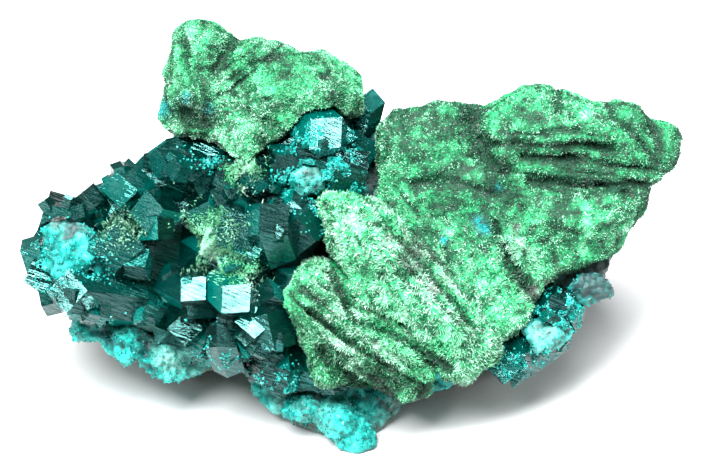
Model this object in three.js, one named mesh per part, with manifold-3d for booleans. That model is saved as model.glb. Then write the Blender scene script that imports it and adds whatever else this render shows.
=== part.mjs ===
// A hand specimen of dioptase with malachite on a chrysocolla-stained matrix, in millimetres, +Z up.
// The specimen rests on a flat broken base. Its show face leans back, so that it looks up at the viewer.
// Every piece is laid out on that show face, in face coordinates: across, up the face, and out of it.
import * as THREE from "three";
import { ImprovedNoise } from "three/addons/math/ImprovedNoise.js";
import { mergeVertices } from "three/addons/utils/BufferGeometryUtils.js";
import Module from "manifold-3d";

const wasm = await Module();
wasm.setup();

// Driving dimensions
const FACE_RISE = 37; // degrees above the horizon that the show face looks up
const FACE_HEIGHT = 19; // the middle of the show face above the base
const BACK = 16; // the broken back, behind the middle of the show face
const BACK_ROUNDING = 1.8;
const BACK_ROUGHNESS = 4;
const BACK_LUMP = 9;
const GAP = 0.3; // the seam between two minerals
const PROFILE = 2.6; // how square a pillow's shoulder is: 2 is an ellipse
const ROOT_LENGTH = 3.6; // how far a crystal goes on below its cap
const CAP_SLOPE = 1.233; // fall of a dioptase rhombohedron's faces, from its axial ratio
const KNOB_DETAIL = 1;
const KNOB_ROUGHNESS = 0.35;
const KNOB_LUMPS = 1.6; // lumps along a knob's radius
const KNOB_ROOT = 3; // how much deeper a knob is behind than in front
const KNOB_WIDTH = 1.3; // how much wider than high a knob is
const RING_STEPS = 16; // points on an outline between two of its corners
const WELD = 1e-5; // points nearer than this are one

// Outlines on the show face, across and up
const MATRIX_OUTLINE = [
  [-33, -2], [-32, 2.2], [-25.8, 5.8], [-20, 10.5], [-19, 18], [-15.5, 20.5], [-5.5, 17.5], [-0.5, 15],
  [3, 12], [8, 12.5], [19.5, 14.5], [30, 12], [33, 8.6], [31, 1.6], [28, -3.6], [24.8, -8.2],
  [21, -12.6], [16.5, -14.8], [8.4, -16.4], [4.2, -18.8], [2.2, -21.4], [1, -23.2], [-0.8, -23.2],
  [-3, -21.4], [-7, -19.7], [-10.7, -16.9], [-13, -13.4], [-15.4, -12.9], [-18.6, -15.6], [-21.6, -14.8],
  [-26, -12.2], [-30.2, -9.4], [-32.8, -6.8],
];
const CRUST_OUTLINE = [
  [-20.5, 10], [-16, 11], [-12, 10], [-5.5, 12.5], [-1, 13.4], [2.2, 13.4], [2.5, 5], [-0.5, 2], [-2, -3],
  [-2.5, -10], [-1, -16], [-2.5, -18], [-6.8, -19], [-10, -17.2], [-12.5, -14], [-16, -13.5],
  [-20, -14], [-25.5, -11.5], [-30.2, -9], [-34.2, -6.2], [-35.2, -2.2], [-34.5, 2], [-32.7, 4.4],
  [-28.4, 4.8], [-26, 7], [-23, 8],
];
const EDGE_OUTLINE = [
  [25.2, -6.4], [24.4, -8.2], [23.6, -10.5], [21, -13.3], [18.8, -14.2], [16.6, -16.2], [13.6, -15.4],
  [15.5, -12], [18, -10], [19.5, -7.5], [22, -6.2],
];
const CREST_OUTLINE = [
  [-16, 23.2], [-13.5, 21.9], [-12, 20.8], [-10.5, 21.1], [-6.8, 20.3], [-5.2, 19.5], [-3.4, 19.8],
  [-1.4, 19.4], [1.2, 16.6], [1.8, 14.5], [0.8, 12.2], [-2, 11.8], [-6, 11], [-9, 9], [-10.4, 7.8],
  [-11.6, 4.8], [-12.8, 5], [-14, 8.6], [-16, 10], [-20, 10.7], [-21, 13.4], [-20.3, 17.5],
  [-19.9, 20.2], [-18.6, 22.4],
];
const MASS_OUTLINE = [
  [1.5, 12.5], [4.5, 13.6], [7, 14.4], [10, 14.6], [12, 14.1], [13, 13.6], [14.6, 14.7], [16.6, 15.8],
  [19, 16.3], [21.4, 15.9], [24, 15], [28, 14.6], [30.5, 13.4], [32.8, 12.9], [35.5, 11.9], [35.3, 9.8],
  [32, 5.4], [30, 2], [29.4, 0], [26.6, -3], [22, -4.6], [20, -7.4], [18.4, -10.6], [16, -12],
  [12, -13], [8, -10], [4, -4.5], [1.4, 2.5], [2.2, 8.5],
];
const TONGUE_OUTLINE = [
  [-4.3, 5.4], [-2.5, 5.5], [1, 4.4], [5, 2.5], [9, -1.5], [13.3, -6.2], [15.7, -9.4], [16.2, -11.6],
  [15.4, -13.6], [13.5, -14.9], [11, -15.9], [8.6, -15], [6.4, -12.6], [3.6, -11], [-0.4, -9.2],
  [-1.6, -6.8], [-1.8, -3.6], [-2.8, -2], [-3.8, 0], [-4.6, 2.8],
];
const FOLDS_OUTLINE = [
  [-6.7, -3.4], [-5.2, -2.2], [-3, -2], [0, -3.6], [4.4, -7.2], [8.6, -11.2], [9.8, -14.6], [8, -16.9],
  [5.9, -17.9], [3.8, -17.5], [0.9, -16], [-1.5, -16.3], [-3, -16.5], [-4.7, -15], [-5.1, -12.9],
  [-6.7, -9.7], [-8.8, -6.8], [-8.2, -5.3],
];

// Turquoise knobs where the matrix breaks through: across, up, out, radius
const MATRIX_KNOBS = [
  [-29.8, -0.8, 1, 2.6],
  [-27.8, -2.6, 1.6, 2.2],
  [-30, -3.2, 0.8, 2],
  [-4.6, 5.8, 1.6, 1.9],
  [-27.8, -9, -1.4, 2],
  [-24, -11, -1.2, 2.2],
  [-20.2, -13.4, -1.4, 2],
  [-15.8, -11.8, -1.2, 1.8],
  [0.4, -21.4, -1.8, 1.8],
  [-1.6, -19.2, -1, 2.1],
  [-5.6, -18.2, -1.2, 1.8],
  [20.2, -10.2, 0, 2],
  [25, -5.4, 0.6, 1.9],
];

// Broad folds and hollows: from, to, half width, height (a hollow is negative)
const MASS_STROKES = [
  [[17.6, 7.8], [23.5, 7.6], 1.1, -1.2],
  [[18, 5.6], [23.4, 5.2], 1.3, -1.4],
  [[15.6, -3], [18.6, -5.6], 1.2, -1.2],
  [[12.8, 12.6], [12.4, 9], 1.6, -1.6],
  [[5, 11.6], [11, 11.8], 1.6, -1.2],
  [[4, 8.8], [10, 9.4], 1.8, 1.2],
  [[16, 12.4], [26, 12], 2.4, 1.6],
  [[19, 1.4], [27, 1.6], 1.6, 1],
  [[20.4, -1.6], [26, -1.2], 1.4, -0.8],
];
const TONGUE_STROKES = [
  [[4, 1.4], [12.2, -7.4], 1.2, -1.1],
  [[3, -8.2], [10.6, -13.4], 1.2, -0.9],
];
const FOLDS_STROKES = [
  [[-4.6, -7.8], [7.6, -15.6], 1, -1.6],
  [[-4, -12], [4.6, -17.4], 1, -1.8],
  [[-2.2, -3.6], [-0.6, -8.4], 1, -1.4],
  [[-7, -6], [5.6, -16.2], 1.4, 0.9],
  [[-5.6, -4], [6, -12.6], 1.4, 0.8],
];
const CREST_STROKES = [
  [[-13, 18.8], [-11.4, 15.5], 1.4, -1.4],
  [[-11.4, 15.5], [-12.6, 9.5], 1.2, -1],
  [[-18.4, 12.6], [-16, 12], 1.4, -2],
  [[-9, 18.6], [-1.2, 15], 2, 1.2],
  [[-17, 20], [-17.4, 15], 1.8, 1],
];
const CRUST_STROKES = [
  [[-18.6, 4], [-18, -4.6], 2.2, -1.4],
  [[-13, 2], [-12, -9], 3, 1.8],
  [[-9.5, -10], [-8, -14], 2.4, 1.6],
];

// Large crystals: across, up and out to the tip, radius, lean right, lean up, turn about the axis,
// and for a long one its length below the cap
const CRYSTALS = [
  [-20.6, 9.2, 3, 2.4, -30, 30, 0],
  [-17.2, 8.8, 2.8, 2.3, 15, 35, 30],
  [-18, 7.2, 4.6, 1.7, 5, 5, 60],
  [-24.8, 6.8, 3, 2.6, -20, 32, 20],
  [-28.4, 4.6, 2.4, 1.8, -20, 30, 10],
  [-32.2, 3.4, 2.4, 2.7, -30, 30, 50],
  [-19.8, 2.8, 5, 2.7, 21, 12, 58],
  [-20.4, -0.4, 4.6, 2.1, 8, -40, 30],
  [-35.1, -1.6, 0.8, 2.3, -50, 10, 80],
  [-34.7, -4.8, 0.8, 2.3, -50, -20, 20],
  [-32.8, -7.4, 1.4, 2, -40, -30, 70],
  [-24.6, 1.6, 5, 3.4, 6, 40, 30],
  [-21.8, -3.2, 4.4, 1.9, 25, -10, 0],
  [-31.9, -5.8, 5.2, 2.7, -60, 14, 8, 9],
  [-29.6, -8.6, 1.8, 2.2, -30, -40, 35],
  [-26, -9.2, 2.6, 2.1, 0, -40, 60],
  [-20.8, -9.4, 3.6, 1.9, 6, -26, 18],
  [-17.2, -8.6, 5.2, 3.1, -10, -30, 45],
  [-17.6, -11.4, 3.8, 2.2, 0, -48, 90],
  [-14.2, -9.2, 6, 2, -18, 45, 84],
  [-15.4, -6.6, 5.8, 2.2, 38, -19, 9],
  [-10.8, -7.8, 8.2, 2.5, 29, -25, 14],
  [-10.3, -10.6, 7.2, 2.3, 2, -29, 89],
  [-8.2, -11.8, 6.8, 3.3, 22, -36, 40],
  [-9.6, -15.4, 3.8, 2.4, -14, -46, 40],
  [-7.2, -16.4, 3.4, 2.2, 8, -52, 15],
  [-16.2, -12.8, 2.4, 1.9, -10, -50, 8],
  [-13.2, -12, 4.2, 2.3, -6, -36, 8],
  [-9.7, 3.4, 7.2, 2.8, -18, 45, 84],
  [-14.4, -0.4, 7, 3.4, -28, -8, 33],
  [-8.6, 0, 6.2, 1.9, 36, 2, 12],
  [-1.4, 9.2, 5.2, 2.8, 29, -25, 14],
  [1.4, 6.8, 4.8, 2.7, 40, 0, 108],
  [-2.6, 6, 4.2, 1.9, 0, -20, 20],
  [-8.2, 8.4, 3.8, 2.5, -20, 20, 70],
  [-5, 10.8, 3.6, 2.3, -10, 40, 50],
  [-1, 12, 2.6, 1.9, 10, 45, 20],
  [-6.6, 0.4, 4.8, 2.2, -9, -38, 93],
  [-4, -0.6, 5.6, 2.7, 30, -30, 66],
  [-10.2, -2.4, 7, 2.2, 20, -6, 100],
  [-15.2, 3.6, 4, 2.5, 6, 20, 18],
  [-14.2, 7.6, 3.4, 2.2, -20, 24, 75],
  [-12.2, 4.4, 4.4, 2.1, 24, 14, 40],
  [-16.8, 5.6, 3.8, 2, -12, -14, 100],
  [-2, -16.6, 3, 2, 6, -50, 52],
  [2, 15.6, -1.2, 1.7, 24, 60, 30],
  [-10.4, 6.8, 4.2, 2, -10, 15, 20],
  [-13.4, -3.8, 6.2, 1.9, -34, -26, 81],
  [-6.2, -5, 4.8, 2.2, 10, 0, 71],
  [-8.2, -6.2, 6.2, 2, 22, 6, 35],
  [-12.6, -9.6, 6, 1.9, 0, -24, 28],
  [-11.4, -12.8, 5.4, 2.2, -6, -34, 60],
];
const EDGE_CRYSTALS = [
  [22.6, -7.4, 2.2, 1.9, 40, -6, 80],
  [22.6, -10, 1.8, 2.1, 50, -30, 64],
  [20.2, -12.4, 1.6, 1.7, 14, -48, 40],
  [18, -14.2, 1.2, 1.7, 20, -50, 30],
  [15.8, -15.4, 1.4, 2.2, 0, -52, 88],
];

// The minerals' colours and roughness
const MATERIALS = {
  matrix: new THREE.MeshStandardMaterial({ color: 0x2fb8a6, roughness: 0.55, metalness: 0 }),
  dioptase: new THREE.MeshStandardMaterial({ color: 0x0b6b5c, roughness: 0.08, metalness: 0 }),
  malachite: new THREE.MeshStandardMaterial({ color: 0x3fae6d, roughness: 0.85, metalness: 0 }),
};

const noise = new ImprovedNoise();
const rise = THREE.MathUtils.degToRad(FACE_RISE);

// The show face's own frame, and the way from the specimen's frame into it
const face = new THREE.Group();
face.rotation.x = Math.PI / 2 - rise;
face.position.z = FACE_HEIGHT;
face.updateMatrix();
const intoFace = face.matrix.clone().invert();

// A closed geometry as a solid that can be joined and cut
function solidOf(geometry) {
  const bare = geometry.clone();
  bare.deleteAttribute("normal");
  bare.deleteAttribute("uv");
  const merged = mergeVertices(bare, WELD);
  const mesh = new wasm.Mesh({
    numProp: 3,
    vertProperties: new Float32Array(merged.attributes.position.array),
    triVerts: new Uint32Array(merged.index.array),
  });
  return new wasm.Manifold(mesh);
}

// A solid's largest body as a flat-shaded geometry
function geometryOf(solid) {
  const bodies = solid.decompose().sort((a, b) => b.volume() - a.volume());
  const mesh = bodies[0].getMesh();
  const geometry = new THREE.BufferGeometry();
  geometry.setAttribute("position", new THREE.BufferAttribute(new Float32Array(mesh.vertProperties), 3));
  geometry.setIndex(new THREE.BufferAttribute(new Uint32Array(mesh.triVerts), 1));
  geometry.computeVertexNormals();
  return geometry;
}

const join = (solids) => solids.reduce((whole, next) => whole.add(next));
const cut = (solid, ...tools) => tools.reduce((left, tool) => left.subtract(tool), solid);

// How far an outline reaches from its centre in each direction, as a function of the angle
function reachOf(outline, centre) {
  const points = outline.map(([across, up]) => new THREE.Vector3(across - centre[0], up - centre[1], 0));
  const ring = new THREE.CatmullRomCurve3(points, true, "centripetal").getPoints(outline.length * RING_STEPS);
  const samples = ring.map((p) => [Math.atan2(p.y, p.x), Math.hypot(p.x, p.y)]).sort((a, b) => a[0] - b[0]);
  return (angle) => {
    const next = samples.findIndex(([a]) => a >= angle);
    const hi = samples[Math.max(next, 0)];
    const lo = samples[(next <= 0 ? samples.length : next) - 1];
    const span = THREE.MathUtils.euclideanModulo(hi[0] - lo[0], 2 * Math.PI);
    const along = THREE.MathUtils.euclideanModulo(angle - lo[0], 2 * Math.PI);
    return THREE.MathUtils.lerp(lo[1], hi[1], span > 1e-6 ? Math.min(along / span, 1) : 0);
  };
}

// The height that folds and cracks add at a point of the face
function strokesAt(strokes, across, up) {
  let height = 0;
  for (const [[fromX, fromY], [toX, toY], halfWidth, rises] of strokes) {
    const length2 = (toX - fromX) ** 2 + (toY - fromY) ** 2;
    const share = ((across - fromX) * (toX - fromX) + (up - fromY) * (toY - fromY)) / length2;
    const near = THREE.MathUtils.clamp(share, 0, 1);
    const away2 = (across - fromX - near * (toX - fromX)) ** 2 + (up - fromY - near * (toY - fromY)) ** 2;
    height += rises * Math.exp(-away2 / halfWidth ** 2);
  }
  return height;
}

// Keeps a point in front of the specimen's broken back by sliding it along the face normal
function inFrontOfBack(across, up, out) {
  const limit = BACK + BACK_ROUGHNESS * noise.noise(across / BACK_LUMP, up / BACK_LUMP, 0.5);
  const depth = up * Math.sin(rise) - out * Math.cos(rise);
  const kept = limit - BACK_ROUNDING * Math.log1p(Math.exp((limit - depth) / BACK_ROUNDING));
  return depth > limit - 6 * BACK_ROUNDING ? (up * Math.sin(rise) - kept) / Math.cos(rise) : out;
}

// A closed lump that shows its outline from the front: `front` out of its middle plane and `back` behind it
function pillow({ outline, centre, middle, front, back, detail, strokes = [], lump, lumpSize }, grow = 0) {
  const reach = reachOf(outline, centre);
  const ball = new THREE.IcosahedronGeometry(1, detail);
  ball.deleteAttribute("normal");
  ball.deleteAttribute("uv");
  const geometry = mergeVertices(ball, WELD);
  const at = geometry.attributes.position;
  for (let i = 0; i < at.count; i++) {
    const p = new THREE.Vector3().fromBufferAttribute(at, i).normalize();
    const slope = Math.acos(THREE.MathUtils.clamp(Math.abs(p.z), 0, 1)) / (Math.PI / 2);
    const angle = Math.atan2(p.y, p.x);
    const radius = (reach(angle) + grow) * slope;
    const across = centre[0] + radius * Math.cos(angle);
    const up = centre[1] + radius * Math.sin(angle);
    const height = (1 - slope ** PROFILE) ** (1 / PROFILE);
    const bumps = lump * noise.noise(across / lumpSize, up / lumpSize, p.z * 2 + middle);
    const relief = p.z > 0 ? strokesAt(strokes, across, up) : 0;
    const rising = p.z > 0 ? front + grow : -back - grow;
    const out = middle + height * (rising + bumps + relief);
    at.setXYZ(i, across, up, inFrontOfBack(across, up, out));
  }
  return solidOf(geometry);
}

// A rough knob on the matrix
function knob([across, up, out, radius], grow = 0) {
  const ball = new THREE.IcosahedronGeometry(1, KNOB_DETAIL);
  ball.deleteAttribute("normal");
  ball.deleteAttribute("uv");
  const geometry = mergeVertices(ball, WELD);
  const at = geometry.attributes.position;
  for (let i = 0; i < at.count; i++) {
    const p = new THREE.Vector3().fromBufferAttribute(at, i);
    const place = p.clone().multiplyScalar(KNOB_LUMPS);
    const rough = 1 + KNOB_ROUGHNESS * noise.noise(place.x + across, place.y + up, place.z);
    p.multiplyScalar(radius * rough + grow);
    at.setXYZ(i, across + p.x * KNOB_WIDTH, up + p.y, out + p.z * (p.z < 0 ? KNOB_ROOT : 1));
  }
  return solidOf(geometry);
}

// A dioptase crystal: a six-sided prism with three rhombs for a cap, its tip at the given place
function crystal([across, up, out, radius, leanRight, leanUp, turn, length = ROOT_LENGTH], grow = 0) {
  const wide = radius + grow;
  const root = -CAP_SLOPE * radius - length - 2 * grow;
  const points = [[0, 0, 0]];
  const corners = Array.from({ length: 6 }, (_, i) => (i * Math.PI) / 3);
  corners.forEach((a, i) => {
    const fall = CAP_SLOPE * wide * (i % 2 ? 0.5 : 1);
    points.push([wide * Math.cos(a), wide * Math.sin(a), -fall]);
  });
  corners.forEach((a) => points.push([wide * Math.cos(a), wide * Math.sin(a), root]));
  const faces = [0, 2, 4].flatMap((i) => {
    const [left, low, right] = [1 + ((i + 5) % 6), 1 + i, 1 + ((i + 1) % 6)];
    return [0, left, low, 0, low, right];
  });
  for (let i = 0; i < 6; i++) {
    const [a, b] = [1 + i, 1 + ((i + 1) % 6)];
    faces.push(a, a + 6, b, b, a + 6, b + 6);
  }
  for (let i = 2; i < 6; i++) faces.push(7, 6 + i + 1, 6 + i);
  const geometry = new THREE.BufferGeometry();
  geometry.setAttribute("position", new THREE.Float32BufferAttribute(points.flat(), 3));
  geometry.setIndex(faces);
  const { degToRad } = THREE.MathUtils;
  const axis = new THREE.Vector3(Math.tan(degToRad(leanRight)), Math.tan(degToRad(leanUp)), 1).normalize();
  geometry.rotateZ(degToRad(turn));
  geometry.applyQuaternion(new THREE.Quaternion().setFromUnitVectors(new THREE.Vector3(0, 0, 1), axis));
  geometry.translate(across + axis.x * grow, up + axis.y * grow, out + axis.z * grow);
  return solidOf(geometry);
}

// The pillows' layouts
const MATRIX = {
  outline: MATRIX_OUTLINE, centre: [0, 0], middle: -3.4, front: 1, back: 42, detail: 4,
  lump: 1.4, lumpSize: 5,
};
const CRUST = {
  outline: CRUST_OUTLINE, centre: [-16, -2], middle: -1.8, front: 2, back: 4, detail: 3,
  strokes: CRUST_STROKES, lump: 0.4, lumpSize: 4,
};
const EDGE = {
  outline: EDGE_OUTLINE, centre: [21, -9.2], middle: -1.2, front: 2, back: 3, detail: 1,
  lump: 0.4, lumpSize: 3,
};
const CREST = {
  outline: CREST_OUTLINE, centre: [-9.5, 15], middle: -0.8, front: 4.8, back: 7, detail: 4,
  strokes: CREST_STROKES, lump: 0.9, lumpSize: 3.2,
};
const MASS = {
  outline: MASS_OUTLINE, centre: [16, 3], middle: -0.6, front: 5, back: 8, detail: 5,
  strokes: MASS_STROKES, lump: 1.2, lumpSize: 4.4,
};
const TONGUE = {
  outline: TONGUE_OUTLINE, centre: [5.5, -5], middle: 2.5, front: 6, back: 6, detail: 4,
  strokes: TONGUE_STROKES, lump: 0.6, lumpSize: 3,
};
const FOLDS = {
  outline: FOLDS_OUTLINE, centre: [-0.8, -10.4], middle: 1.5, front: 5.6, back: 6, detail: 4,
  strokes: FOLDS_STROKES, lump: 0.4, lumpSize: 3,
};

const matrixWhole = (grow) => join([pillow(MATRIX, grow), ...MATRIX_KNOBS.map((k) => knob(k, grow))]);
const clusterWhole = (grow) => join([pillow(CRUST, grow), ...CRYSTALS.map((c) => crystal(c, grow))]);
const edgeWhole = (grow) => join([pillow(EDGE, grow), ...EDGE_CRYSTALS.map((c) => crystal(c, grow))]);
const massWhole = (grow) => join([pillow(MASS, grow), pillow(TONGUE, grow)]);

// The ground, as a block below the base
const ground = new THREE.BoxGeometry(200, 200, 60);
ground.translate(0, 0, -30);
ground.applyMatrix4(intoFace);

const seamMatrix = matrixWhole(GAP);
const seamCluster = clusterWhole(GAP);
const under = solidOf(ground);
const solids = {
  matrix: cut(matrixWhole(0), under),
  dioptase_crystals: cut(clusterWhole(0), seamMatrix, under),
  dioptase_edge_crystals: cut(edgeWhole(0), seamMatrix, under),
  malachite_folds: cut(pillow(FOLDS), seamMatrix, seamCluster, under),
  malachite_mass: cut(massWhole(0), seamMatrix, seamCluster, edgeWhole(GAP), pillow(FOLDS, GAP), under),
  malachite_crest: cut(pillow(CREST), seamMatrix, seamCluster, massWhole(GAP), under),
};
for (const [name, solid] of Object.entries(solids)) {
  const mesh = new THREE.Mesh(geometryOf(solid), MATERIALS[name.split("_")[0]]);
  mesh.name = name;
  face.add(mesh);
}

// The origin is under the middle of the specimen's box, on the surface that it rests on
const specimen = new THREE.Group();
specimen.add(face);
const box = new THREE.Box3().setFromObject(specimen, true);
face.position.x -= (box.min.x + box.max.x) / 2;
face.position.y -= (box.min.y + box.max.y) / 2;

export default specimen;
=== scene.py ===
import math

import bmesh
import bpy
import numpy as np
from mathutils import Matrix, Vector
from mathutils.bvhtree import BVHTree


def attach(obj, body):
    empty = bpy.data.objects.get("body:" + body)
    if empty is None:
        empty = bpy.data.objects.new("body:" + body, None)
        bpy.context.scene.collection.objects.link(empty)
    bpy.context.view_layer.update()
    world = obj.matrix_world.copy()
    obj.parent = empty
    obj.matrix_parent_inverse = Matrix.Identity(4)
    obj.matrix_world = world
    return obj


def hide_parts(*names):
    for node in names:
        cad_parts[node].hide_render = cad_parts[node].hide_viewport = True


# The looks of a dioptase specimen: glassy crystals, velvety malachite and a turquoise matrix.
# Places and sizes are in mm, apart from those marked m. A mesh is turned into metres when it is made.
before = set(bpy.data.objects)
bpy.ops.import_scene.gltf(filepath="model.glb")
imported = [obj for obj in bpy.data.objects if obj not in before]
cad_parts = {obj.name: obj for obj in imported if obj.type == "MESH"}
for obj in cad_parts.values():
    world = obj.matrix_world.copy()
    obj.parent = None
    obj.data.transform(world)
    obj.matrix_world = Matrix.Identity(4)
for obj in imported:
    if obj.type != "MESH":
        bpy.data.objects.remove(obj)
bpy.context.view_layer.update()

MM = 0.001
TINY = 1e-9  # keeps a length or a sum of weights from being zero

# The show face: where its middle lies, and how far above the horizon it looks
FACE_ORIGIN = np.array([-0.159, -2.14, 19.0])
FACE_RISE = math.radians(37)
FACE_RIGHT = np.array([1.0, 0.0, 0.0])
FACE_UP = np.array([0.0, math.sin(FACE_RISE), math.cos(FACE_RISE)])
FACE_OUT = np.array([0.0, -math.cos(FACE_RISE), math.sin(FACE_RISE)])

# The camera looks straight at the show face through a long lens
LENS = 200.0
SENSOR = 36.0
VIEW_WIDTH = 74.5  # of the show face across the picture
NEAREST = 0.01  # m from the camera at which things begin to show

rng = np.random.default_rng(11)


# Numbers over space. The last number in each call is the pattern's seed

def lattice(cell, seed):
    """A repeatable random number from 0 to 1 for each cell of a grid. The large numbers mix the bits."""
    x, y, z = cell[..., 0], cell[..., 1], cell[..., 2]
    n = (x * 374761393 + y * 668265263 + z * 1440662683 + seed * 974634777) & 0xFFFFFFFF
    n = ((n ^ (n >> 13)) * 1274126177) & 0xFFFFFFFF
    n = ((n ^ (n >> 16)) * 2246822519) & 0xFFFFFFFF
    return ((n ^ (n >> 15)) & 0xFFFFFF) / 0xFFFFFF


def noise(points, size, seed):
    """Smooth noise from -1 to 1 with lumps of about that size."""
    p = points / size
    cell = np.floor(p).astype(np.int64)
    f = p - cell
    f = f * f * (3 - 2 * f)
    total = np.zeros(len(p))
    for corner in range(8):
        step = np.array([corner & 1, (corner >> 1) & 1, corner >> 2])
        weight = np.prod(np.where(step, f, 1 - f), axis=1)
        total += weight * lattice(cell + step, seed)
    return total * 2 - 1


def rough(points, size, seed, octaves=3):
    """Noise with finer and weaker copies of itself added."""
    return sum(noise(points, size / 2**i, seed + i) / 2**i for i in range(octaves))


def swirl(points, size, seed):
    """A vector at each point that changes smoothly from place to place, each share from -1 to 1."""
    return np.stack([noise(points, size, seed + k) for k in range(3)], axis=1)


def tufts(points, size, seed):
    """1 at the middle of each rounded tuft of about that size, falling to 0 between tufts."""
    p = points / size
    cell = np.floor(p).astype(np.int64)
    nearest = np.full(len(p), np.inf)
    for i in range(27):
        near = cell + np.array([i % 3, i // 3 % 3, i // 9]) - 1
        spot = near + np.stack([lattice(near, seed + k) for k in range(3)], axis=1)
        nearest = np.minimum(nearest, np.linalg.norm(p - spot, axis=1))
    return np.clip(1 - nearest**2, 0, 1)


def on_face(points):
    """Points as distances across, up and out of the show face."""
    p = points - FACE_ORIGIN
    return np.stack([p @ FACE_RIGHT, p @ FACE_UP, p @ FACE_OUT], axis=1)


def near_stroke(face, stroke, half_width):
    """1 on a line of points across the face, falling to 0 beside it."""
    best = np.full(len(face), np.inf)
    for (ax, ay), (bx, by) in zip(stroke, stroke[1:]):
        run = np.array([bx - ax, by - ay])
        share = np.clip(((face[:, :2] - (ax, ay)) @ run) / (run @ run), 0, 1)
        away = np.linalg.norm(face[:, :2] - (ax, ay) - share[:, None] * run, axis=1)
        best = np.minimum(best, away)
    return np.exp(-((best / half_width) ** 2))


def near_spot(face, across, up, radius):
    """1 at a spot on the face, falling to 0 around it."""
    return np.exp(-((face[:, 0] - across) ** 2 + (face[:, 1] - up) ** 2) / radius**2)


def spotted(face, spots):
    """1 at any of the spots on the face, falling to 0 away from them all."""
    return np.clip(sum(near_spot(face, *spot) for spot in spots), 0, 1)


# Meshes from arrays
WELD = 1e-7  # m between corners that are made one
SMOOTHING = 0.5  # share of the way to its neighbours that a point moves in each round
NEARLY_UP = 0.9  # a direction's upward share beyond which it counts as upright


def new_object(name, mesh):
    obj = bpy.data.objects.new(name, mesh)
    bpy.context.scene.collection.objects.link(obj)
    return obj


def welded_copy(node):
    """A copy of a CAD node's mesh, with the corners that its triangles share made one."""
    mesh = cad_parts[node].data.copy()
    welded = bmesh.new()
    welded.from_mesh(mesh)
    bmesh.ops.remove_doubles(welded, verts=welded.verts, dist=WELD)
    welded.to_mesh(mesh)
    welded.free()
    return mesh


def fine_mesh(node, voxel, rounds):
    """An even, closed mesh of a CAD node, with voxels of that size, smoothed in that many rounds."""
    obj = new_object("fine", welded_copy(node))
    even = obj.modifiers.new("even", "REMESH")
    even.mode = "VOXEL"
    even.voxel_size = voxel * MM
    soft = obj.modifiers.new("soft", "SMOOTH")
    soft.factor = SMOOTHING
    soft.iterations = rounds
    shaped = obj.evaluated_get(bpy.context.evaluated_depsgraph_get())
    fine = bpy.data.meshes.new_from_object(shaped)
    fine.materials.clear()
    bpy.data.objects.remove(obj)
    return fine


def corners(mesh):
    """A mesh's vertices in mm, and its unit normals."""
    at = np.empty(len(mesh.vertices) * 3)
    mesh.vertices.foreach_get("co", at)
    normals = np.empty(len(mesh.vertices) * 3)
    mesh.vertex_normals.foreach_get("vector", normals)
    return at.reshape(-1, 3) / MM, normals.reshape(-1, 3)


def move_to(mesh, points):
    mesh.vertices.foreach_set("co", (points * MM).ravel())
    mesh.update()


def mesh_of(name, points, faces):
    """A mesh from points in mm and triangles."""
    mesh = bpy.data.meshes.new(name)
    mesh.vertices.add(len(points))
    mesh.vertices.foreach_set("co", (points * MM).ravel())
    mesh.loops.add(faces.size)
    mesh.loops.foreach_set("vertex_index", faces.ravel().astype(np.int32))
    mesh.polygons.add(len(faces))
    mesh.polygons.foreach_set("loop_start", np.arange(0, faces.size, 3, dtype=np.int32))
    mesh.update(calc_edges=True)
    mesh.validate()
    mesh.shade_flat()
    return mesh


def colour_points(mesh, colours):
    """Stores a colour for each vertex, which the piece's material reads."""
    layer = mesh.color_attributes.new("tone", "FLOAT_COLOR", "POINT")
    rgba = np.ones((len(mesh.vertices), 4))
    rgba[:, :3] = np.clip(colours, 0, 1)
    layer.data.foreach_set("color", rgba.ravel())


def unit(vectors):
    return vectors / np.maximum(np.linalg.norm(vectors, axis=1, keepdims=True), TINY)


def across_of(directions):
    """Two unit directions square to each given one."""
    upright = np.abs(directions[:, 2:]) >= NEARLY_UP
    helper = np.where(upright, [[1.0, 0.0, 0.0]], [[0.0, 0.0, 1.0]])
    first = unit(np.cross(directions, helper))
    return first, np.cross(directions, first)


def spots_on(mesh, count, weight=None):
    """Random places on a mesh and their normals, spread by area and by a weight for each vertex."""
    mesh.calc_loop_triangles()
    tris = np.empty(len(mesh.loop_triangles) * 3, dtype=np.int32)
    mesh.loop_triangles.foreach_get("vertices", tris)
    tris = tris.reshape(-1, 3)
    points, normals = corners(mesh)
    a, b, c = (points[tris[:, k]] for k in range(3))
    area = np.linalg.norm(np.cross(b - a, c - a), axis=1)
    if weight is not None:
        area = area * weight[tris].mean(axis=1)
    picked = tris[rng.choice(len(tris), size=count, p=area / area.sum())]
    u, v = rng.random((2, count))
    flip = u + v > 1
    u, v = np.where(flip, 1 - u, u), np.where(flip, 1 - v, v)
    share = np.stack([1 - u - v, u, v], axis=1)[:, :, None]
    normal = (normals[picked] * share).sum(axis=1)
    return (points[picked] * share).sum(axis=1), unit(normal)


def spikes(roots, directions, lengths, radii):
    """Closed three-sided spikes: three points round the root and the tip of each, and the triangles."""
    first, second = across_of(directions)
    turn = rng.random(len(roots)) * 2 * math.pi
    points = np.empty((len(roots), 4, 3))
    for k in range(3):
        angle = (turn + k * 2 * math.pi / 3)[:, None]
        points[:, k] = roots + radii[:, None] * (np.cos(angle) * first + np.sin(angle) * second)
    points[:, 3] = roots + directions * lengths[:, None]
    one = np.array([[0, 1, 3], [1, 2, 3], [2, 0, 3], [0, 2, 1]])
    faces = (np.arange(len(roots)) * 4)[:, None, None] + one
    return points.reshape(-1, 3), faces.reshape(-1, 3)


def spike_object(name, points, faces, root, tip):
    """A piece of many spikes, each with its own colour at the root and at the tip."""
    mesh = mesh_of(name, points, faces)
    colour_points(mesh, np.stack([root, root, root, tip], axis=1).reshape(-1, 3))
    return new_object(name, mesh)


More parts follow.
